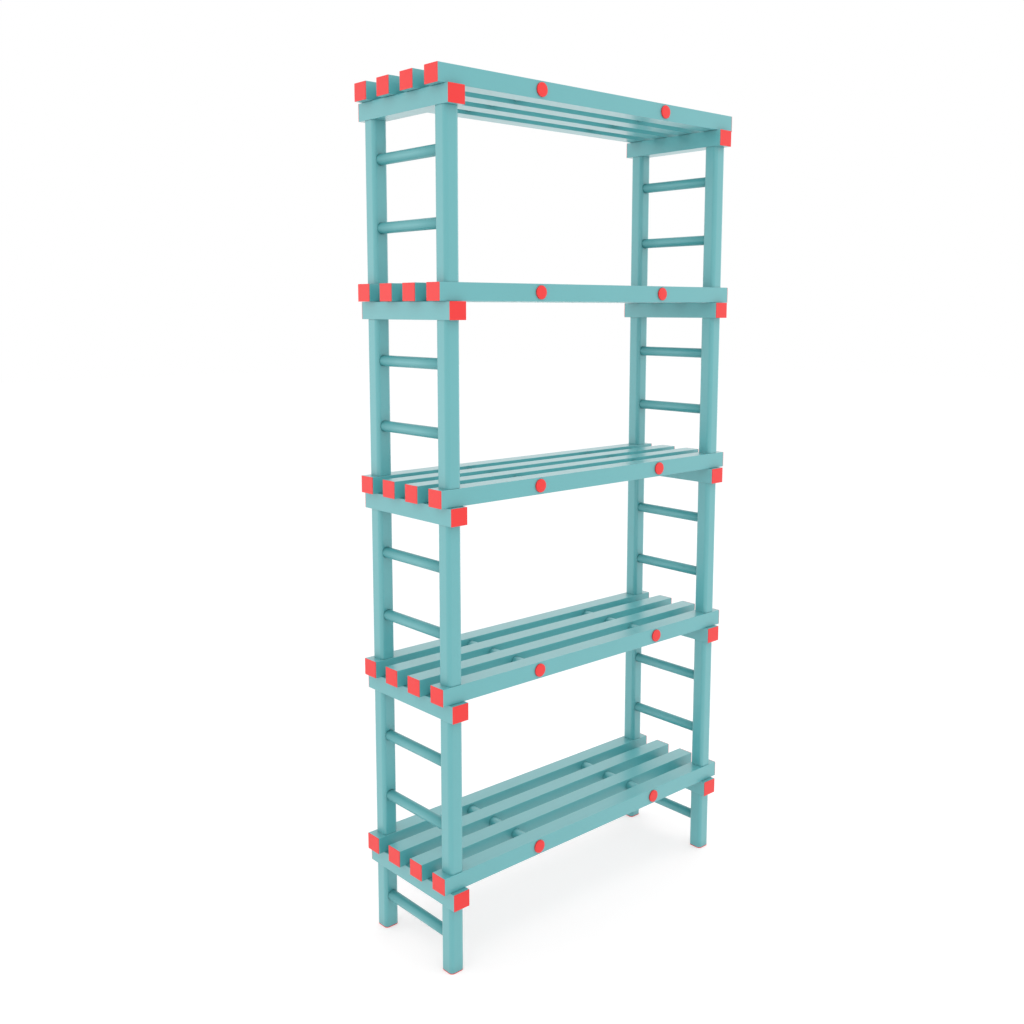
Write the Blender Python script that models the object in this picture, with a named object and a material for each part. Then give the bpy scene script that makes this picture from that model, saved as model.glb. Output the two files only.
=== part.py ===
"""Free-standing plastic shelving unit: five slatted decks stacked on posts, with ladder rungs at both ends.

Metres, +Z up. The origin is on the floor under the middle of the unit. +X runs along the slats, and
the front faces -Y.
"""

import math

import bmesh
import bpy
from mathutils import Matrix, Vector

# Decks
DECK_COUNT = 5
DECK_PITCH = 0.4084
FLOOR_TO_SLATS = 0.187
SLATS_PER_DECK = 4
SLAT_GAP = 0.038

# The bar that slats and crossbars are sawn from
BAR_WIDTH = 0.0411
BAR_HEIGHT = 0.0367
BAR_WALL = 0.0035

# Lengths and places of the bars
SLAT_LENGTH = 0.900
CROSSBAR_INSET = 0.0166
CROSSBAR_OVERHANG = 0.0115

# Square push-in caps: a flange that stands a little inside the bar's outline
END_CAP_FLANGE = 0.0012
END_CAP_STEP = 0.0003

# Tie rods through the slats, a little above their middles, with round caps
TIE_ROD_DIAMETER = 0.0234
TIE_ROD_RISE = 0.0006
TIE_ROD_FROM_LEFT_END = 0.269
TIE_ROD_SPACING = 0.3845
TIE_CAP_DIAMETER = 0.029
TIE_CAP_HEIGHT = 0.0033
TIE_CAP_EDGE = 0.0012

# Posts, each with a spigot that goes up through the deck into the next post
POST_WIDTH = 0.0361
POST_CORNER = 0.0092
POST_WALL = 0.0035
POST_CROWN = 0.010
SPIGOT_REACH = 0.020
FOOT_CAP_HEIGHT = 0.002
FOOT_CAP_EDGE = 0.0006

# Ladder rungs, a pair in each bay; from bay to bay the pair climbs against the middle of its bay
RUNG_DIAMETER = 0.0234
RUNG_SPACING = 0.1398
FIRST_PAIR_OVER_MIDDLE = -0.0052
PAIR_RISE_PER_BAY = 0.00766
LEG_RUNG_OVER_FLOOR = 0.0762
RUNG_SOCKET_DEPTH = 0.010

# Gap between pieces that touch
CLEARANCE = 0.0003

# Facets
POST_CORNER_STEPS = 3
SPIGOT_CORNER_STEPS = 1
ROUND_SIDES = 16
SHARPEST_CORNER = 0.0003
SHARP_ANGLE = math.radians(35)

TEAL = (0.205, 0.508, 0.520)
RED = (0.92, 0.075, 0.070)
ROUGHNESS = 0.45
BODY = 0
CAP = 1

SLAT_PITCH = BAR_WIDTH + SLAT_GAP
OUTER_SLAT_Y = SLAT_PITCH * (SLATS_PER_DECK - 1) / 2
DECK_DEPTH = 2 * OUTER_SLAT_Y + BAR_WIDTH
CROSSBAR_LENGTH = DECK_DEPTH + 2 * CROSSBAR_OVERHANG
POST_X = SLAT_LENGTH / 2 - CROSSBAR_INSET - BAR_WIDTH / 2
TIE_ROD_LEFT_X = TIE_ROD_FROM_LEFT_END - SLAT_LENGTH / 2
TIE_ROD_XS = (TIE_ROD_LEFT_X, TIE_ROD_LEFT_X + TIE_ROD_SPACING)
TOP_DECK = DECK_COUNT - 1

SIDES = {"left": -1, "right": 1}
ENDS = {"front": -1, "rear": 1}


def clear_scene():
    for obj in list(bpy.data.objects):
        bpy.data.objects.remove(obj)


def plastic(name, colour):
    """A satin plastic, made once for each name."""
    material = bpy.data.materials.get(name)
    if material:
        return material
    material = bpy.data.materials.new(name)
    material.use_nodes = True
    shader = material.node_tree.nodes["Principled BSDF"]
    shader.inputs["Base Color"].default_value = (*colour, 1)
    shader.inputs["Roughness"].default_value = ROUGHNESS
    shader.inputs["Metallic"].default_value = 0
    return material


def slat_bottom(deck):
    """Height of the slats' undersides. Deck 0 is the lowest."""
    return FLOOR_TO_SLATS + deck * DECK_PITCH


def slat_top(deck):
    return slat_bottom(deck) + BAR_HEIGHT


def crossbar_bottom(deck):
    return slat_bottom(deck) - CLEARANCE - BAR_HEIGHT


def rounded_square(width, radius, steps):
    """Points of a square with rounded corners about the origin, anticlockwise."""
    points = []
    for corner in range(4):
        start = corner * math.pi / 2
        across = 1 if corner in (0, 3) else -1
        along = 1 if corner in (0, 1) else -1
        centre = (width / 2 - radius) * Vector((across, along))
        for step in range(steps + 1):
            angle = start + step / steps * math.pi / 2
            points.append(centre + radius * Vector((math.cos(angle), math.sin(angle))))
    return points


def post_outline(inset=0):
    """The post's rounded square section, or a like one that lies a given way inside it."""
    radius = max(POST_CORNER - inset, SHARPEST_CORNER)
    return rounded_square(POST_WIDTH - 2 * inset, radius, POST_CORNER_STEPS)


def spigot_outline(inset=0):
    """The section of the post's socket, or a like one that lies a given way inside it."""
    width = POST_WIDTH - 2 * POST_WALL - 2 * inset
    radius = max(POST_CORNER - POST_WALL - inset, SHARPEST_CORNER)
    return rounded_square(width, radius, SPIGOT_CORNER_STEPS)


def bar_outline(inset=0):
    """The bar's section, its width first and then its height, or one that lies inside it."""
    x = BAR_WIDTH / 2 - inset
    y = BAR_HEIGHT / 2 - inset
    return [Vector((x, y)), Vector((-x, y)), Vector((-x, -y)), Vector((x, -y))]


def circle(diameter):
    angles = [2 * math.pi * side / ROUND_SIDES for side in range(ROUND_SIDES)]
    return [diameter / 2 * Vector((math.cos(angle), math.sin(angle))) for angle in angles]


def loft(sections):
    """A closed solid through sections of (outline, height, slot), which all have as many points.

    The slot is the material of the band that rises to the section and, on the first, of its lid.
    """
    solid = bmesh.new()
    rings = []
    for outline, height, _ in sections:
        rings.append([solid.verts.new((point.x, point.y, height)) for point in outline])
    solid.faces.new(list(reversed(rings[0]))).material_index = sections[0][2]
    solid.faces.new(rings[-1]).material_index = sections[-1][2]
    for lower, upper, section in zip(rings, rings[1:], sections[1:]):
        for index in range(len(lower)):
            after = (index + 1) % len(lower)
            face = solid.faces.new((lower[index], lower[after], upper[after], upper[index]))
            face.material_index = section[2]
    bmesh.ops.recalc_face_normals(solid, faces=solid.faces)
    return solid


def prism(outline, bottom, top):
    return loft([(outline, bottom, BODY), (outline, top, BODY)])


def along_x(solid):
    """Turns a solid that rises along Z so that it runs along +X, its first axis across the depth."""
    turn = Matrix(((0, 0, 1), (1, 0, 0), (0, 1, 0))).to_4x4()
    bmesh.ops.transform(solid, matrix=turn, verts=solid.verts)
    return solid


def along_y(solid):
    """Turns a solid that rises along Z so that it runs along +Y, its second axis staying upright."""
    turn = Matrix(((-1, 0, 0), (0, 0, 1), (0, 1, 0))).to_4x4()
    bmesh.ops.transform(solid, matrix=turn, verts=solid.verts)
    return solid


def to_mesh(name, solid):
    """The mesh of a solid, in teal plastic with its caps in red."""
    mesh = bpy.data.meshes.new(name)
    solid.to_mesh(mesh)
    solid.free()
    mesh.materials.append(plastic("teal_plastic", TEAL))
    mesh.materials.append(plastic("red_plastic", RED))
    return mesh


def to_object(name, solid, location=(0, 0, 0)):
    obj = bpy.data.objects.new(name, to_mesh(name, solid))
    obj.location = location
    bpy.context.scene.collection.objects.link(obj)
    return obj


def shape(name, solid, steps):
    """The mesh of a solid after Boolean steps of (operation, tool, place of the tool)."""
    target = to_object(name, solid)
    helpers = []
    for operation, tool, location in steps:
        helper = to_object(name + "_tool", tool, location)
        helper.hide_render = True
        helper.display_type = "WIRE"
        modifier = target.modifiers.new(operation.lower(), "BOOLEAN")
        modifier.operation = operation
        modifier.object = helper
        helpers.append(helper)
    graph = bpy.context.evaluated_depsgraph_get()
    mesh = bpy.data.meshes.new_from_object(target.evaluated_get(graph))
    mesh.name = name
    for obj in [target, *helpers]:
        bpy.data.objects.remove(obj)
    return mesh


def bar(length):
    """A bar along Z, about the origin, with a cap's flange at each end."""
    bar_end = length / 2 - END_CAP_FLANGE
    body = bar_outline()
    flange = bar_outline(END_CAP_STEP)
    return loft(
        [
            (flange, -length / 2, CAP),
            (flange, -bar_end, CAP),
            (body, -bar_end, BODY),
            (body, bar_end, BODY),
            (flange, bar_end, BODY),
            (flange, length / 2, CAP),
        ]
    )


def round_hole(diameter, start, end):
    """The cutter of a hole along Y for a round piece of a given diameter."""
    return along_y(prism(circle(diameter + 2 * CLEARANCE), start, end))


def slat_mesh(name, spigots_end):
    """A slat about its own middle. Its spigot holes end at a given height, or are left out for None."""
    steps = []
    for rod_x in TIE_ROD_XS:
        hole = round_hole(TIE_ROD_DIAMETER, -BAR_WIDTH, BAR_WIDTH)
        steps.append(("DIFFERENCE", hole, (rod_x, 0, TIE_ROD_RISE)))
    if spigots_end is not None:
        for side in SIDES.values():
            hole = prism(spigot_outline(), -BAR_HEIGHT, spigots_end)
            steps.append(("DIFFERENCE", hole, (side * POST_X, 0, 0)))
    return shape(name, along_x(bar(SLAT_LENGTH)), steps)


def crossbar_mesh(name):
    steps = []
    for end in ENDS.values():
        hole = prism(spigot_outline(), -BAR_HEIGHT, BAR_HEIGHT)
        steps.append(("DIFFERENCE", hole, (0, end * OUTER_SLAT_Y, 0)))
    return shape(name, along_y(bar(CROSSBAR_LENGTH)), steps)


def tie_rod_mesh(name):
    """A tie rod along Y about its own middle, with a round cap standing on each outer slat's face."""
    seat = DECK_DEPTH / 2 + CLEARANCE
    face = seat + TIE_CAP_HEIGHT
    rod = circle(TIE_ROD_DIAMETER)
    rim = circle(TIE_CAP_DIAMETER)
    front = circle(TIE_CAP_DIAMETER - 2 * TIE_CAP_EDGE)
    solid = loft(
        [
            (front, -face, CAP),
            (rim, -face + TIE_CAP_EDGE, CAP),
            (rim, -seat, CAP),
            (rod, -seat, CAP),
            (rod, seat, BODY),
            (rim, seat, CAP),
            (rim, face - TIE_CAP_EDGE, CAP),
            (front, face, CAP),
        ]
    )
    return to_mesh(name, along_y(solid))


def leg(height):
    """A leg from the floor up, closed below by its foot cap."""
    body = post_outline()
    sole = post_outline(FOOT_CAP_EDGE)
    return loft(
        [
            (sole, 0, CAP),
            (body, FOOT_CAP_EDGE, CAP),
            (body, FOOT_CAP_HEIGHT, CAP),
            (body, height, BODY),
        ]
    )


def rung():
    """A rung from inside a front post's rear wall into the socket of the rear post."""
    start = POST_WIDTH / 2 - POST_WALL / 2
    end = 2 * OUTER_SLAT_Y - POST_WIDTH / 2 + RUNG_SOCKET_DEPTH
    return along_y(prism(circle(RUNG_DIAMETER), start, end))


def rung_socket():
    """The cutter of a rung's socket in the front wall of a rear post."""
    wall = -POST_WIDTH / 2
    return round_hole(RUNG_DIAMETER, wall - POST_WALL, wall + RUNG_SOCKET_DEPTH + CLEARANCE)


def post_mesh(name, end, height, spigot_height, rung_heights, is_leg):
    """A post about the middle of its foot: a front one carries its rungs, a rear one has their sockets."""
    steps = []
    if not is_leg:
        socket = prism(spigot_outline(), -POST_CROWN, height - POST_CROWN)
        steps.append(("DIFFERENCE", socket, (0, 0, 0)))
    spigot = prism(spigot_outline(CLEARANCE), height - POST_CROWN / 2, spigot_height)
    steps.append(("UNION", spigot, (0, 0, 0)))
    for rung_height in rung_heights:
        if end == "front":
            steps.append(("UNION", rung(), (0, 0, rung_height)))
        else:
            steps.append(("DIFFERENCE", rung_socket(), (0, 0, rung_height)))
    solid = leg(height) if is_leg else prism(post_outline(), 0, height)
    return shape(name, solid, steps)


def place(name, mesh, location):
    mesh.shade_smooth()
    mesh.set_sharp_from_angle(angle=SHARP_ANGLE)
    obj = bpy.data.objects.new(name, mesh)
    obj.location = location
    bpy.context.scene.collection.objects.link(obj)


def slat_name(index):
    if index == 0:
        return "front"
    if index == SLATS_PER_DECK - 1:
        return "rear"
    return f"middle_{index}"


def build_decks():
    through_slat = slat_mesh("outer_slat", BAR_HEIGHT)
    blind_slat = slat_mesh("top_outer_slat", BAR_HEIGHT / 2 - BAR_WALL)
    middle_slat = slat_mesh("middle_slat", None)
    crossbar = crossbar_mesh("crossbar")
    tie_rod = tie_rod_mesh("tie_rod")
    for deck in range(DECK_COUNT):
        label = f"deck_{deck + 1}"
        outer_slat = blind_slat if deck == TOP_DECK else through_slat
        slat_middle = slat_bottom(deck) + BAR_HEIGHT / 2
        crossbar_middle = crossbar_bottom(deck) + BAR_HEIGHT / 2
        for index in range(SLATS_PER_DECK):
            slat = outer_slat if index in (0, SLATS_PER_DECK - 1) else middle_slat
            y = index * SLAT_PITCH - OUTER_SLAT_Y
            place(f"{label}_slat_{slat_name(index)}", slat, (0, y, slat_middle))
        for side, sign in SIDES.items():
            place(f"{label}_crossbar_{side}", crossbar, (sign * POST_X, 0, crossbar_middle))
        for side, rod_x in zip(SIDES, TIE_ROD_XS):
            place(f"{label}_tie_rod_{side}", tie_rod, (rod_x, 0, slat_middle + TIE_ROD_RISE))


def spigot_top(deck):
    """Height at which the spigots that go up through a deck end."""
    if deck == TOP_DECK:
        return slat_top(deck) - BAR_WALL - CLEARANCE
    return slat_top(deck) + CLEARANCE + SPIGOT_REACH


def pair_heights(bay, post_height):
    """Heights of a bay's two rungs over the foot of its posts. Bay 1 is the lowest."""
    middle = post_height / 2 + FIRST_PAIR_OVER_MIDDLE + (bay - 1) * PAIR_RISE_PER_BAY
    return [middle - RUNG_SPACING / 2, middle + RUNG_SPACING / 2]


def build_posts():
    """The legs, which carry deck 0, and the posts of each bay, which carry the deck above it."""
    for deck in range(DECK_COUNT):
        is_leg = deck == 0
        label = "leg" if is_leg else f"bay_{deck}_post"
        foot = 0 if is_leg else slat_top(deck - 1) + CLEARANCE
        height = crossbar_bottom(deck) - CLEARANCE - foot
        rungs = [LEG_RUNG_OVER_FLOOR] if is_leg else pair_heights(deck, height)
        for end, end_sign in ENDS.items():
            mesh = post_mesh(f"{label}_{end}", end, height, spigot_top(deck) - foot, rungs, is_leg)
            for side, side_sign in SIDES.items():
                location = (side_sign * POST_X, end_sign * OUTER_SLAT_Y, foot)
                place(f"{label}_{end}_{side}", mesh, location)


def main():
    clear_scene()
    build_decks()
    build_posts()


main()
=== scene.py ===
"""Looks of a plastic shelving unit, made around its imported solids.

Metres, +Z up, and the front faces -Y. Every bar, post, rod, rung and cap is a piece of its own. Each is made
along its own Z axis and then turned to its place, so that the streaks of the plastic follow its length.
"""

import math

import bmesh
import bpy
from mathutils import Matrix, Vector


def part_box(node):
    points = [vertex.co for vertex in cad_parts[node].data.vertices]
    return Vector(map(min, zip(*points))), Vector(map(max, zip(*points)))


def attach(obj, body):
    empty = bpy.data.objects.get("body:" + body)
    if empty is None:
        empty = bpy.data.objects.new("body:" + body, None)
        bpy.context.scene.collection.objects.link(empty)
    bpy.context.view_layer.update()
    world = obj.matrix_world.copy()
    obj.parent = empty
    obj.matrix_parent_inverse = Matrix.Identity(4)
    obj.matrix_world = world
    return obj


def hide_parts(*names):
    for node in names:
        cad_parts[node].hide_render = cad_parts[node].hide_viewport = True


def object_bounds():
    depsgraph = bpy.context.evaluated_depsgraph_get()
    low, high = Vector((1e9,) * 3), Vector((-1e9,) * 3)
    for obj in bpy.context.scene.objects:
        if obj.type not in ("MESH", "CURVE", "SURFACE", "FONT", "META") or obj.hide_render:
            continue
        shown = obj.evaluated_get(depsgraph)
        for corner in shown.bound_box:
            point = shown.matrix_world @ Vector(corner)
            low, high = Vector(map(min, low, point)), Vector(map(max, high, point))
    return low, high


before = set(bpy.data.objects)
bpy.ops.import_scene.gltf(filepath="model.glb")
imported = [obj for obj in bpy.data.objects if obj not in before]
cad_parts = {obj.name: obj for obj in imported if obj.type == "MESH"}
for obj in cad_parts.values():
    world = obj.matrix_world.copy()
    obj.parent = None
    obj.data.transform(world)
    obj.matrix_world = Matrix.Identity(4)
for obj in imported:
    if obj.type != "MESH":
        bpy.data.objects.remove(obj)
cad_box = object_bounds()

# Names of the nodes
DECKS = range(1, 6)
SLATS = ("front", "middle_1", "middle_2", "rear")
SIDES = ("left", "right")
POST_ENDS = ("front", "rear")
BODY = "root"

# Bars: slats and crossbars
BAR_EDGE = 0.0008
BAR_SAWN_EDGE = 0.0003
END_CAP_FLANGE = 0.0011
END_CAP_INSET = 0.00005
END_CAP_EDGE = 0.0004
SEAM = 0.0001

# Tie rods. Each ring of a cap's crown has its inset, as a share of the diameter, and its drop, as a share of
# the crown's height.
TIE_ROD_DIAMETER = 0.0234
TIE_CAP_DIAMETER = 0.029
TIE_CAP_HEIGHT = 0.0033
TIE_CAP_EDGE = 0.0011
TIE_CAP_CROWN = 0.0003
TIE_CAP_CROWN_RINGS = ((1 / 8, 1 / 3), (1 / 4, 0))

# Posts and rungs
POST_WIDTH = 0.0361
POST_CORNER = 0.0092
POST_SAWN_EDGE = 0.0002
FOOT_CAP_HEIGHT = 0.002
FOOT_CAP_EDGE = 0.0006
RUNG_DIAMETER = 0.0234
RUNG_SPACING = 0.1398
RUNG_SEAT_DEPTH = 0.004
SOCKET_DEPTH = 0.016
FIRST_PAIR_OVER_MIDDLE = -0.0052
PAIR_RISE_PER_BAY = 0.00766
LEG_RUNG_OVER_FLOOR = 0.0762

# Holes for rods and rungs
HOLE_CLEARANCE = 0.00025
HOLE_CHAMFER = 0.0004

# Facets
EDGE_STEPS = 3
POST_CORNER_STEPS = 8
ROUND_SIDES = 48
LEAST_RADIUS = 0.0001
SHARP_ANGLE = math.radians(40)
WORN_FACE_WIDTH = 0.0008

# Plastics. A crevice's painted shade is the share of the colour that is left deep in it, where an
# ambient-occlusion node paints shade into the colour.
TEAL_PLASTIC = {
    "colour": (0.104, 0.438, 0.463),
    "worn_colour": (0.15, 0.50, 0.525),
    "roughness": 0.40,
    "streaks": 0.03,
    "ior": 1.6,
    "coat": 1.0,
    "painted_crevice_shade": 0.7,
}
# The rungs' crevices get a darker painted shade, where they meet the posts
RUNG_PLASTIC = {**TEAL_PLASTIC, "streaks": 0.01, "ior": 1.5, "coat": 0.9, "painted_crevice_shade": 0.3}
RED_PLASTIC = {
    "colour": (0.93, 0.003, 0.002),
    "worn_colour": (0.97, 0.03, 0.028),
    "roughness": 0.42,
    "streaks": 0.0,
    "ior": 1.6,
    "coat": 0.3,
    "painted_crevice_shade": 0.7,
}
COAT_ROUGHNESS = 0.3
ROUGHNESS_SPREAD = 0.04

# Patterns in the plastics: streaks, clouds and grain, which each piece has in other places
PATTERN_SHIFT = 31.0
STREAK_STRETCH = (330, 330, 2.5)
STREAK_DETAIL = 3.0
CLOUD_SCALE = 7.0
CLOUD_DETAIL = 2.0
CLOUD_LIGHTEST = 1.035
CLOUD_DARKEST = 0.965
GRAIN_SCALE = 900.0
GRAIN_DETAIL = 2.0
GRAIN_STRENGTH = 0.15
BUMP_DEPTH = 0.0001
# How far the painted shade in crevices reaches, and how many rays it samples
CREVICE_REACH = 0.03
CREVICE_SAMPLES = 8

# Rungs, painted light: the share of the half length that keeps the full coat, a painted highlight, and the
# colour's lightest and darkest painted shade, in the middle of the sides and at the ends, top and underside
RUNG_LIT_SHARE = 0.2
RUNG_LIGHTEST_PAINTED_SHADE = 0.97
RUNG_DARKEST_PAINTED_SHADE = 0.83

# Camera, as it stood for the photograph
CAMERA_PLACE = (-1.7618, -1.8230, 1.3964)
CAMERA_YAW = math.radians(-41.689)
CAMERA_PITCH = math.radians(90 - 7.704)
CAMERA_LENS = 38.459
CAMERA_SENSOR = 36.0
CAMERA_SHIFT = (-0.00003, -0.05357)

# Studio: a white dome, four soft boxes aimed at the middle of the unit, and a white floor
SKY_LIGHT = 1.0
SOFT_BOX_AIM = (0, 0, 0.93)
SOFT_BOXES = {
    "soft_box_left": {"place": (-5, 0, 1.2), "side": 5.0, "brightness": 0.08},
    "soft_box_right": {"place": (5, 0, 1.2), "side": 5.0, "brightness": 0.50},
    "soft_box_high_front": {"place": (0, -3, 5), "side": 3.0, "brightness": 0.36},
    "soft_box_back_left": {"place": (-4, 4, 1.2), "side": 3.0, "brightness": 0.46},
}
FLOOR_SIZE = 40.0
FLOOR_COLOUR = (0.9, 0.9, 0.9)
PAPER_COLOUR = (0.69, 0.77, 0.78)
PAPER_GLOW = (0.487, 0.369, 0.358)
GLOW_FULL_WITHIN = 0.1
GLOW_FADED_BEYOND = 1.1
FADED_GLOW = 0.71

# Each piece runs along its own Z axis: these lay it along the slats or along the crossbars
ALONG_X = Matrix(((0, 0, 1), (1, 0, 0), (0, 1, 0))).to_4x4()
ALONG_Y = Matrix(((-1, 0, 0), (0, 0, 1), (0, 1, 0))).to_4x4()
HALF_TURN = Matrix.Rotation(math.pi, 4, "Z")


def rounded_rectangle(width, height, radius, steps):
    """Points of a rectangle with rounded corners about the origin, anticlockwise."""
    points = []
    for corner in range(4):
        across = 1 if corner in (0, 3) else -1
        along = 1 if corner in (0, 1) else -1
        centre = Vector((across * (width / 2 - radius), along * (height / 2 - radius)))
        for step in range(steps + 1):
            angle = (corner + step / steps) * math.pi / 2
            points.append(centre + radius * Vector((math.cos(angle), math.sin(angle))))
    return points


def rectangle(width, height, radius, steps):
    """The outline of a rounded rectangle, as a function of how far inside it the points lie."""

    def outline(inset):
        left = max(radius - inset, LEAST_RADIUS)
        return rounded_rectangle(width - 2 * inset, height - 2 * inset, left, steps)

    return outline


def disc(diameter):
    """The outline of a circle, as a function of how far inside it the points lie."""

    def outline(inset):
        radius = diameter / 2 - inset
        angles = [2 * math.pi * side / ROUND_SIDES for side in range(ROUND_SIDES)]
        return [radius * Vector((math.cos(angle), math.sin(angle))) for angle in angles]

    return outline


def loft(sections):
    """A closed solid through sections of (outline, height), which all have as many points."""
    solid = bmesh.new()
    rings = []
    for outline, height in sections:
        rings.append([solid.verts.new((point.x, point.y, height)) for point in outline])
    solid.faces.new(list(reversed(rings[0])))
    solid.faces.new(rings[-1])
    for lower, upper in zip(rings, rings[1:]):
        for index in range(len(lower)):
            after = (index + 1) % len(lower)
            solid.faces.new((lower[index], lower[after], upper[after], upper[index]))
    return solid


def rounded_end(outline, height, edge, up):
    """Sections of an end that is rounded by a given radius, from its face inwards."""
    if edge == 0:
        return [(outline(0), height)]
    sections = []
    for step in range(EDGE_STEPS + 1):
        angle = step / EDGE_STEPS * math.pi / 2
        inset = edge * (1 - math.sin(angle))
        sections.append((outline(inset), height - up * edge * (1 - math.cos(angle))))
    return sections


def rounded_prism(outline, bottom, top, bottom_edge, top_edge):
    """A solid of one section, whose two ends are rounded by given radii."""
    lower = rounded_end(outline, bottom, bottom_edge, -1)
    upper = rounded_end(outline, top, top_edge, 1)
    return loft(lower + upper[::-1])


def chamfered_hole(diameter, length, mouths):
    """The cutter of a round hole along Z from -length to length, widened at each of the given mouths."""
    hole = diameter / 2 + HOLE_CLEARANCE
    mouth = hole + HOLE_CHAMFER
    profile = [(hole, -length), (hole, length)]
    if -1 in mouths:
        profile[0:1] = [(mouth, -2 * length), (mouth, -length), (hole, -length + HOLE_CHAMFER)]
    if 1 in mouths:
        profile[-1:] = [(hole, length - HOLE_CHAMFER), (mouth, length), (mouth, 2 * length)]
    return loft([(disc(2 * radius)(0), height) for radius, height in profile])


def to_object(name, solid):
    """An object of a solid, which is used up."""
    mesh = bpy.data.meshes.new(name)
    solid.to_mesh(mesh)
    solid.free()
    obj = bpy.data.objects.new(name, mesh)
    bpy.context.scene.collection.objects.link(obj)
    return obj


def evaluated_mesh(obj):
    """The mesh of an object with its modifiers."""
    graph = bpy.context.evaluated_depsgraph_get()
    return bpy.data.meshes.new_from_object(obj.evaluated_get(graph))


def mark_worn_faces(mesh):
    """Marks the narrow faces along the edges, where handling polishes the plastic."""
    worn = mesh.attributes.new("worn", "FLOAT", "FACE")
    lengths = [(mesh.vertices[a].co - mesh.vertices[b].co).length for a, b in mesh.edge_keys]
    length_of = dict(zip(mesh.edge_keys, lengths))
    for face in mesh.polygons:
        longest = max(length_of[key] for key in face.edge_keys)
        worn.data[face.index].value = float(face.area / longest < WORN_FACE_WIDTH)


def finished(name, solid, material, cutters=()):
    """The mesh of a solid less its cutters: flat faces shade flat, and rounded edges shade round."""
    target = to_object(name, solid)
    helpers = []
    for cutter, place in cutters:
        helper = to_object(name + "_cutter", cutter)
        helper.matrix_world = place
        modifier = target.modifiers.new("cut", "BOOLEAN")
        modifier.object = helper
        helpers.append(helper)
    target.data = evaluated_mesh(target)
    target.modifiers.clear()
    target.data.shade_smooth()
    target.data.set_sharp_from_angle(angle=SHARP_ANGLE)
    normals = target.modifiers.new("normals", "WEIGHTED_NORMAL")
    normals.keep_sharp = True
    mesh = evaluated_mesh(target)
    mesh.name = name
    mesh.materials.clear()
    mesh.materials.append(material)
    mark_worn_faces(mesh)
    for obj in [target, *helpers]:
        bpy.data.objects.remove(obj)
    return mesh


def add_piece(name, mesh, place, node):
    """A piece that stands for a node, or for a part of one."""
    piece = bpy.data.objects.new(name, mesh)
    bpy.context.scene.collection.objects.link(piece)
    piece.matrix_world = place
    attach(piece, BODY)
    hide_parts(node)


def at(point):
    """The place of a piece that is moved and not turned."""
    return Matrix.Translation(Vector(point))


def middle_of(node):
    """The middle of a node's box."""
    low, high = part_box(node)
    return (low + high) / 2


def add_node(tree, kind, inputs, **settings):
    """A shader node with its settings; an input is a value, or a socket to link from."""
    made = tree.nodes.new(kind)
    for key, value in settings.items():
        setattr(made, key, value)
    for key, value in inputs.items():
        if isinstance(value, bpy.types.NodeSocket):
            tree.links.new(value, made.inputs[key])
        else:
            made.inputs[key].default_value = value
    return made


def calculate(tree, operation, *values):
    """The result of a sum on one or two numbers."""
    return add_node(tree, "ShaderNodeMath", dict(enumerate(values)), operation=operation).outputs[0]


def remap(tree, value, to_min, to_max, from_min=0.0, from_max=1.0, interpolation="LINEAR"):
    """A number carried from one range into another."""
    ranges = {"From Min": from_min, "From Max": from_max, "To Min": to_min, "To Max": to_max}
    inputs = {"Value": value, **ranges}
    return add_node(tree, "ShaderNodeMapRange", inputs, interpolation_type=interpolation).outputs["Result"]


def noise(tree, place, scale, detail):
    """A cloudy pattern of numbers from 0 to 1."""
    inputs = {"Vector": place, "Scale": scale, "Detail": detail}
    return add_node(tree, "ShaderNodeTexNoise", inputs).outputs["Fac"]


def blend(tree, factor, first, second):
    """A colour between two others."""
    inputs = {"Factor": factor, "A": first, "B": second}
    return add_node(tree, "ShaderNodeMix", inputs, data_type="RGBA").outputs["Result"]


def rung_painted_light(tree, coords, rung_half):
    """Painted light on a rung: 1 in the middle of its sides, and 0 at its ends, its top and its underside.
    """
    along = add_node(tree, "ShaderNodeSeparateXYZ", {"Vector": coords["Object"]}).outputs["Z"]
    off_middle = calculate(tree, "ABSOLUTE", along)
    away_from_posts = remap(tree, off_middle, 1.0, 0.0, RUNG_LIT_SHARE * rung_half, rung_half, "SMOOTHSTEP")
    slope = add_node(tree, "ShaderNodeSeparateXYZ", {"Vector": coords["Normal"]}).outputs["Y"]
    tilt = calculate(tree, "ABSOLUTE", slope)
    facing_sideways = calculate(tree, "SUBTRACT", 1.0, tilt)
    return calculate(tree, "MULTIPLY", away_from_posts, facing_sideways)


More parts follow.
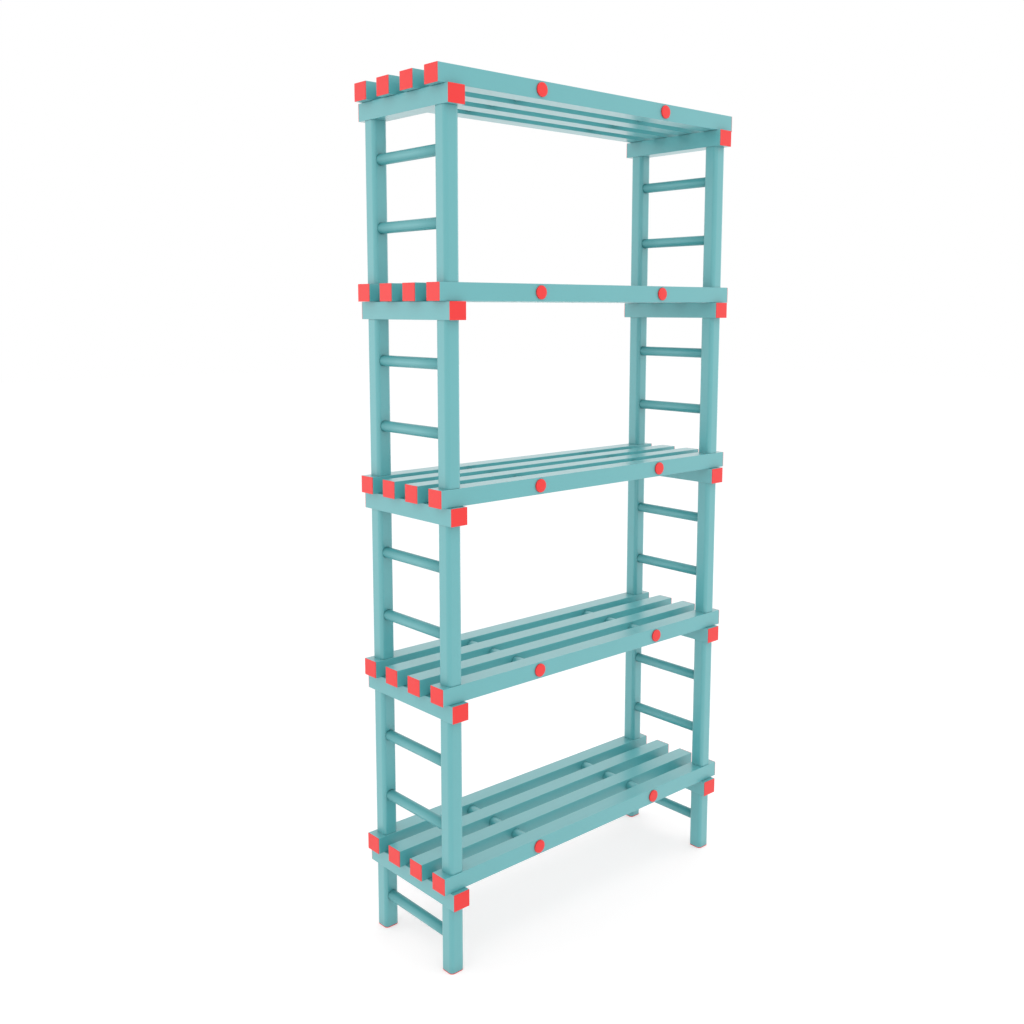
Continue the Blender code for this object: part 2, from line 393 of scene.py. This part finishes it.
def plastic(name, colour, worn_colour, roughness, streaks, ior, coat, painted_crevice_shade, rung_half=None):
    """A satin plastic with faint clouds, fine grain, rubbed edges, painted shade in its crevices and, where
    extruded, streaks.

    On a rung of the given half length, a painted highlight keeps the coat full in the middle of the sides,
    and painted shade darkens the colour towards the ends, the top and the underside.
    """
    material = bpy.data.materials.new(name)
    material.use_nodes = True
    tree = material.node_tree
    shader = tree.nodes["Principled BSDF"]
    coords = add_node(tree, "ShaderNodeTexCoord", {}).outputs
    piece = add_node(tree, "ShaderNodeObjectInfo", {}).outputs["Random"]
    shift = calculate(tree, "MULTIPLY", piece, PATTERN_SHIFT)
    shifted = {0: coords["Object"], 1: shift}
    place = add_node(tree, "ShaderNodeVectorMath", shifted, operation="ADD").outputs[0]
    stretched = {"Vector": place, "Scale": STREAK_STRETCH}
    lines = noise(tree, add_node(tree, "ShaderNodeMapping", stretched).outputs[0], 1.0, STREAK_DETAIL)
    clouds = noise(tree, place, CLOUD_SCALE, CLOUD_DETAIL)
    grain = noise(tree, place, GRAIN_SCALE, GRAIN_DETAIL)
    worn = add_node(tree, "ShaderNodeAttribute", {}, attribute_name="worn").outputs["Fac"]

    darker = [CLOUD_DARKEST * part for part in colour]
    lighter = [min(1, CLOUD_LIGHTEST * part) for part in colour]
    tone = blend(tree, clouds, (*darker, 1), (*lighter, 1))
    rubbed = calculate(tree, "MULTIPLY", worn, grain)
    edged = blend(tree, rubbed, tone, (*worn_colour, 1))
    # Painted shade: the colour is darkened in crevices and between parts by an ambient-occlusion node
    reach = {"Distance": CREVICE_REACH}
    open_air = add_node(tree, "ShaderNodeAmbientOcclusion", reach, samples=CREVICE_SAMPLES).outputs["AO"]
    painted_shade = remap(tree, open_air, painted_crevice_shade, 1.0)
    shader.inputs["Coat Weight"].default_value = coat
    # On a rung, painted light: the coat is a painted highlight in the middle of the sides, and the colour
    # gets painted shade towards the ends, top and underside
    if rung_half is not None:
        rung_light = rung_painted_light(tree, coords, rung_half)
        tree.links.new(calculate(tree, "MULTIPLY", rung_light, coat), shader.inputs["Coat Weight"])
        painted_rung_shade = remap(tree, rung_light, RUNG_DARKEST_PAINTED_SHADE, RUNG_LIGHTEST_PAINTED_SHADE)
        painted_shade = calculate(tree, "MULTIPLY", painted_shade, painted_rung_shade)
    shaded = add_node(tree, "ShaderNodeVectorMath", {0: edged, 1: painted_shade}, operation="MULTIPLY")
    tree.links.new(shaded.outputs[0], shader.inputs["Base Color"])

    gloss = remap(tree, lines, roughness - ROUGHNESS_SPREAD, roughness + ROUGHNESS_SPREAD)
    tree.links.new(gloss, shader.inputs["Roughness"])
    grains = {"Height": grain, "Strength": GRAIN_STRENGTH, "Distance": BUMP_DEPTH}
    grained = add_node(tree, "ShaderNodeBump", grains).outputs["Normal"]
    ridges = {"Height": lines, "Strength": streaks, "Distance": BUMP_DEPTH, "Normal": grained}
    streaked = add_node(tree, "ShaderNodeBump", ridges).outputs["Normal"]
    tree.links.new(streaked, shader.inputs["Normal"])
    shader.inputs["IOR"].default_value = ior
    shader.inputs["Coat Roughness"].default_value = COAT_ROUGHNESS
    return material


def bar(length, width, height):
    """A bar without the flanges of its end caps."""
    half = length / 2 - END_CAP_FLANGE - SEAM
    outline = rectangle(width, height, BAR_EDGE, EDGE_STEPS)
    return rounded_prism(outline, -half, half, BAR_SAWN_EDGE, BAR_SAWN_EDGE)


def end_cap(width, height):
    """The flange of a square cap, a little smaller than its bar."""
    outline = rectangle(width - 2 * END_CAP_INSET, height - 2 * END_CAP_INSET, BAR_EDGE, EDGE_STEPS)
    return rounded_prism(outline, 0, END_CAP_FLANGE, 0, END_CAP_EDGE)


def tie_cap():
    """The round cap on the end of a tie rod, slightly crowned."""
    rim = disc(TIE_CAP_DIAMETER)
    sections = [(rim(0), 0)]
    sections += rounded_end(rim, TIE_CAP_HEIGHT - TIE_CAP_CROWN, TIE_CAP_EDGE, 1)[::-1]
    for inset, drop in TIE_CAP_CROWN_RINGS:
        sections.append((rim(inset * TIE_CAP_DIAMETER), TIE_CAP_HEIGHT - drop * TIE_CAP_CROWN))
    return loft(sections)


def tie_rod_holes(slat_width):
    """Cutters of the holes for the tie rods in a slat, each with its place."""
    across = Matrix.Rotation(math.pi / 2, 4, "Y")
    slat_middle = middle_of("deck_1_slat_front")
    holes = []
    for side in SIDES:
        rod = middle_of(f"deck_1_tie_rod_{side}")
        hole = chamfered_hole(TIE_ROD_DIAMETER, slat_width / 2, (-1, 1))
        holes.append((hole, at((0, rod.z - slat_middle.z, rod.x)) @ across))
    return holes


def add_capped(node, kind, mesh, cap, cap_height, turn):
    """A bar or rod along X or Y, with a red cap on each end."""
    low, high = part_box(node)
    middle = at((low + high) / 2)
    if turn is ALONG_X:
        first, second = "left", "right"
        length = high.x - low.x
    else:
        first, second = "front", "rear"
        length = high.y - low.y
    seat = at((0, 0, length / 2 - cap_height))
    add_piece(f"{node}_{kind}", mesh, middle @ turn, node)
    add_piece(f"{node}_cap_{second}", cap, middle @ turn @ seat, node)
    add_piece(f"{node}_cap_{first}", cap, middle @ HALF_TURN @ turn @ seat, node)


def build_decks(teal, red):
    """The slats, crossbars and tie rods of the decks, with their caps."""
    slat_low, slat_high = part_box("deck_1_slat_front")
    slat_length, bar_width, bar_height = slat_high - slat_low
    crossbar_low, crossbar_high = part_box("deck_1_crossbar_left")
    crossbar_length = crossbar_high.y - crossbar_low.y
    rod_half = (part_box("deck_1_slat_rear")[1].y - slat_low.y) / 2

    slat = finished("slat", bar(slat_length, bar_width, bar_height), teal, tie_rod_holes(bar_width))
    crossbar = finished("crossbar", bar(crossbar_length, bar_width, bar_height), teal)
    bar_cap = finished("end_cap", end_cap(bar_width, bar_height), red)
    rod_solid = rounded_prism(disc(TIE_ROD_DIAMETER), -rod_half, rod_half, 0, 0)
    rod = finished("tie_rod", rod_solid, teal)
    rod_cap = finished("tie_cap", tie_cap(), red)

    for deck in DECKS:
        for name in SLATS:
            add_capped(f"deck_{deck}_slat_{name}", "tube", slat, bar_cap, END_CAP_FLANGE, ALONG_X)
        for side in SIDES:
            node = f"deck_{deck}_crossbar_{side}"
            add_capped(node, "tube", crossbar, bar_cap, END_CAP_FLANGE, ALONG_Y)
        for side in SIDES:
            node = f"deck_{deck}_tie_rod_{side}"
            add_capped(node, "bar", rod, rod_cap, TIE_CAP_HEIGHT, ALONG_Y)


def rung_sockets(end, heights):
    """Cutters of the sockets for rungs in a front or rear post, each with its place."""
    half = SOCKET_DEPTH / 2
    facing = 1 if end == "front" else -1
    turn = ALONG_Y if end == "front" else HALF_TURN @ ALONG_Y
    sockets = []
    for height in heights:
        socket = chamfered_hole(RUNG_DIAMETER, half, (1,))
        sockets.append((socket, at((0, facing * (POST_WIDTH / 2 - half), height)) @ turn))
    return sockets


def build_posts(teal, red):
    """The legs and the posts of the bays, with their rungs and foot caps."""
    outline = rectangle(POST_WIDTH, POST_WIDTH, POST_CORNER, POST_CORNER_STEPS)
    foot_solid = rounded_prism(outline, 0, FOOT_CAP_HEIGHT, FOOT_CAP_EDGE, 0)
    foot_cap = finished("foot_cap", foot_solid, red)
    end_ys = {end: middle_of(f"deck_1_slat_{end}").y for end in POST_ENDS}
    half_gap = (end_ys["rear"] - end_ys["front"] - POST_WIDTH) / 2
    rung_teal = plastic("teal_plastic_rungs_painted_light", **RUNG_PLASTIC, rung_half=half_gap)
    rung_half = half_gap + RUNG_SEAT_DEPTH
    rung_solid = rounded_prism(disc(RUNG_DIAMETER), -rung_half, rung_half, 0, 0)
    rung = finished("rung", rung_solid, rung_teal)

    for level in range(len(DECKS)):
        is_leg = level == 0
        label = "leg" if is_leg else f"bay_{level}_post"
        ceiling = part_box(f"deck_{level + 1}_crossbar_left")[0].z - SEAM
        if is_leg:
            foot = FOOT_CAP_HEIGHT + SEAM
            rungs = [LEG_RUNG_OVER_FLOOR]
        else:
            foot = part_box(f"deck_{level}_slat_front")[1].z + SEAM
            pair = (foot + ceiling) / 2 + FIRST_PAIR_OVER_MIDDLE + (level - 1) * PAIR_RISE_PER_BAY
            rungs = [pair - RUNG_SPACING / 2, pair + RUNG_SPACING / 2]
        for end, end_y in end_ys.items():
            sockets = rung_sockets(end, [height - foot for height in rungs])
            solid = rounded_prism(outline, 0, ceiling - foot, POST_SAWN_EDGE, POST_SAWN_EDGE)
            post = finished(f"{label}_{end}", solid, teal, sockets)
            for side in SIDES:
                post_x = middle_of(f"deck_1_crossbar_{side}").x
                node = f"{label}_{end}_{side}"
                add_piece(f"{node}_tube", post, at((post_x, end_y, foot)), node)
                if is_leg:
                    add_piece(f"{node}_foot_cap", foot_cap, at((post_x, end_y, 0)), node)
                if end == "front":
                    for index, height in enumerate(rungs):
                        place = at((post_x, 0, height)) @ ALONG_Y
                        add_piece(f"{node}_rung_{index + 1}", rung, place, node)


def build_pieces():
    """All pieces of the unit."""
    teal = plastic("teal_plastic_extruded", **TEAL_PLASTIC)
    red = plastic("red_plastic_moulded", **RED_PLASTIC)
    build_decks(teal, red)
    build_posts(teal, red)


def build_camera():
    """The photograph's camera."""
    data = bpy.data.cameras.new("camera")
    data.lens = CAMERA_LENS
    data.sensor_width = CAMERA_SENSOR
    data.shift_x, data.shift_y = CAMERA_SHIFT
    camera = bpy.data.objects.new("camera", data)
    camera.location = CAMERA_PLACE
    camera.rotation_euler = (CAMERA_PITCH, 0, CAMERA_YAW)
    bpy.context.scene.collection.objects.link(camera)
    bpy.context.scene.camera = camera


def shows_background(tree):
    """1 for the rays that show the background: from the camera, mirrored, or through glass."""
    rays = add_node(tree, "ShaderNodeLightPath", {}).outputs
    seen = rays["Is Camera Ray"]
    for name in ("Is Glossy Ray", "Is Transmission Ray"):
        seen = calculate(tree, "MAXIMUM", seen, rays[name])
    return seen


def glow_strength(tree):
    """1 at the unit's footprint, and less with the distance from it."""
    spot = add_node(tree, "ShaderNodeTexCoord", {}).outputs["Object"]
    half = (cad_box[1] - cad_box[0]) / 2
    steps = [
        ("ABSOLUTE", None),
        ("SUBTRACT", (half.x, half.y, 0)),
        ("MAXIMUM", (0, 0, 0)),
        ("LENGTH", None),
    ]
    for operation, other in steps:
        inputs = {0: spot} if other is None else {0: spot, 1: other}
        step = add_node(tree, "ShaderNodeVectorMath", inputs, operation=operation)
        spot = step.outputs["Value" if operation == "LENGTH" else "Vector"]
    return remap(tree, spot, 1.0, FADED_GLOW, GLOW_FULL_WITHIN, GLOW_FADED_BEYOND)


def build_floor():
    """A floor that shows as glowing paper, and lights the unit as a plain matt one."""
    mesh = bpy.data.meshes.new("floor")
    half = FLOOR_SIZE / 2
    corners = [(-half, -half, 0), (half, -half, 0), (half, half, 0), (-half, half, 0)]
    mesh.from_pydata(corners, [], [(0, 1, 2, 3)])
    floor = bpy.data.objects.new("floor", mesh)
    bpy.context.scene.collection.objects.link(floor)
    material = bpy.data.materials.new("white_floor")
    material.use_nodes = True
    mesh.materials.append(material)
    tree = material.node_tree
    tree.nodes.clear()
    matt = add_node(tree, "ShaderNodeBsdfDiffuse", {"Color": (*FLOOR_COLOUR, 1)}).outputs[0]
    paper = add_node(tree, "ShaderNodeBsdfDiffuse", {"Color": (*PAPER_COLOUR, 1)}).outputs[0]
    light = {"Color": (*PAPER_GLOW, 1), "Strength": glow_strength(tree)}
    glow = add_node(tree, "ShaderNodeEmission", light).outputs[0]
    shown = add_node(tree, "ShaderNodeAddShader", {0: glow, 1: paper}).outputs[0]
    mixed = add_node(tree, "ShaderNodeMixShader", {0: shows_background(tree), 1: matt, 2: shown})
    add_node(tree, "ShaderNodeOutputMaterial", {"Surface": mixed.outputs[0]})


def build_soft_boxes():
    """Square lamps of even light, which the camera doesn't see."""
    for name, box in SOFT_BOXES.items():
        data = bpy.data.lights.new(name, "AREA")
        data.size = box["side"]
        data.energy = math.pi * box["side"] ** 2 * box["brightness"]
        lamp = bpy.data.objects.new(name, data)
        lamp.location = box["place"]
        aim = Vector(SOFT_BOX_AIM) - lamp.location
        lamp.rotation_euler = aim.to_track_quat("-Z", "Y").to_euler()
        lamp.visible_camera = False
        bpy.context.scene.collection.objects.link(lamp)


def build_sky():
    """A white dome of even light."""
    world = bpy.data.worlds.new("studio")
    bpy.context.scene.world = world
    world.use_nodes = True
    tree = world.node_tree
    tree.nodes.clear()
    white = add_node(tree, "ShaderNodeBackground", {"Color": (1, 1, 1, 1), "Strength": SKY_LIGHT})
    add_node(tree, "ShaderNodeOutputWorld", {"Surface": white.outputs[0]})


build_pieces()
build_floor()
build_sky()
build_soft_boxes()
build_camera()
bpy.context.scene.view_settings.view_transform = "Standard"
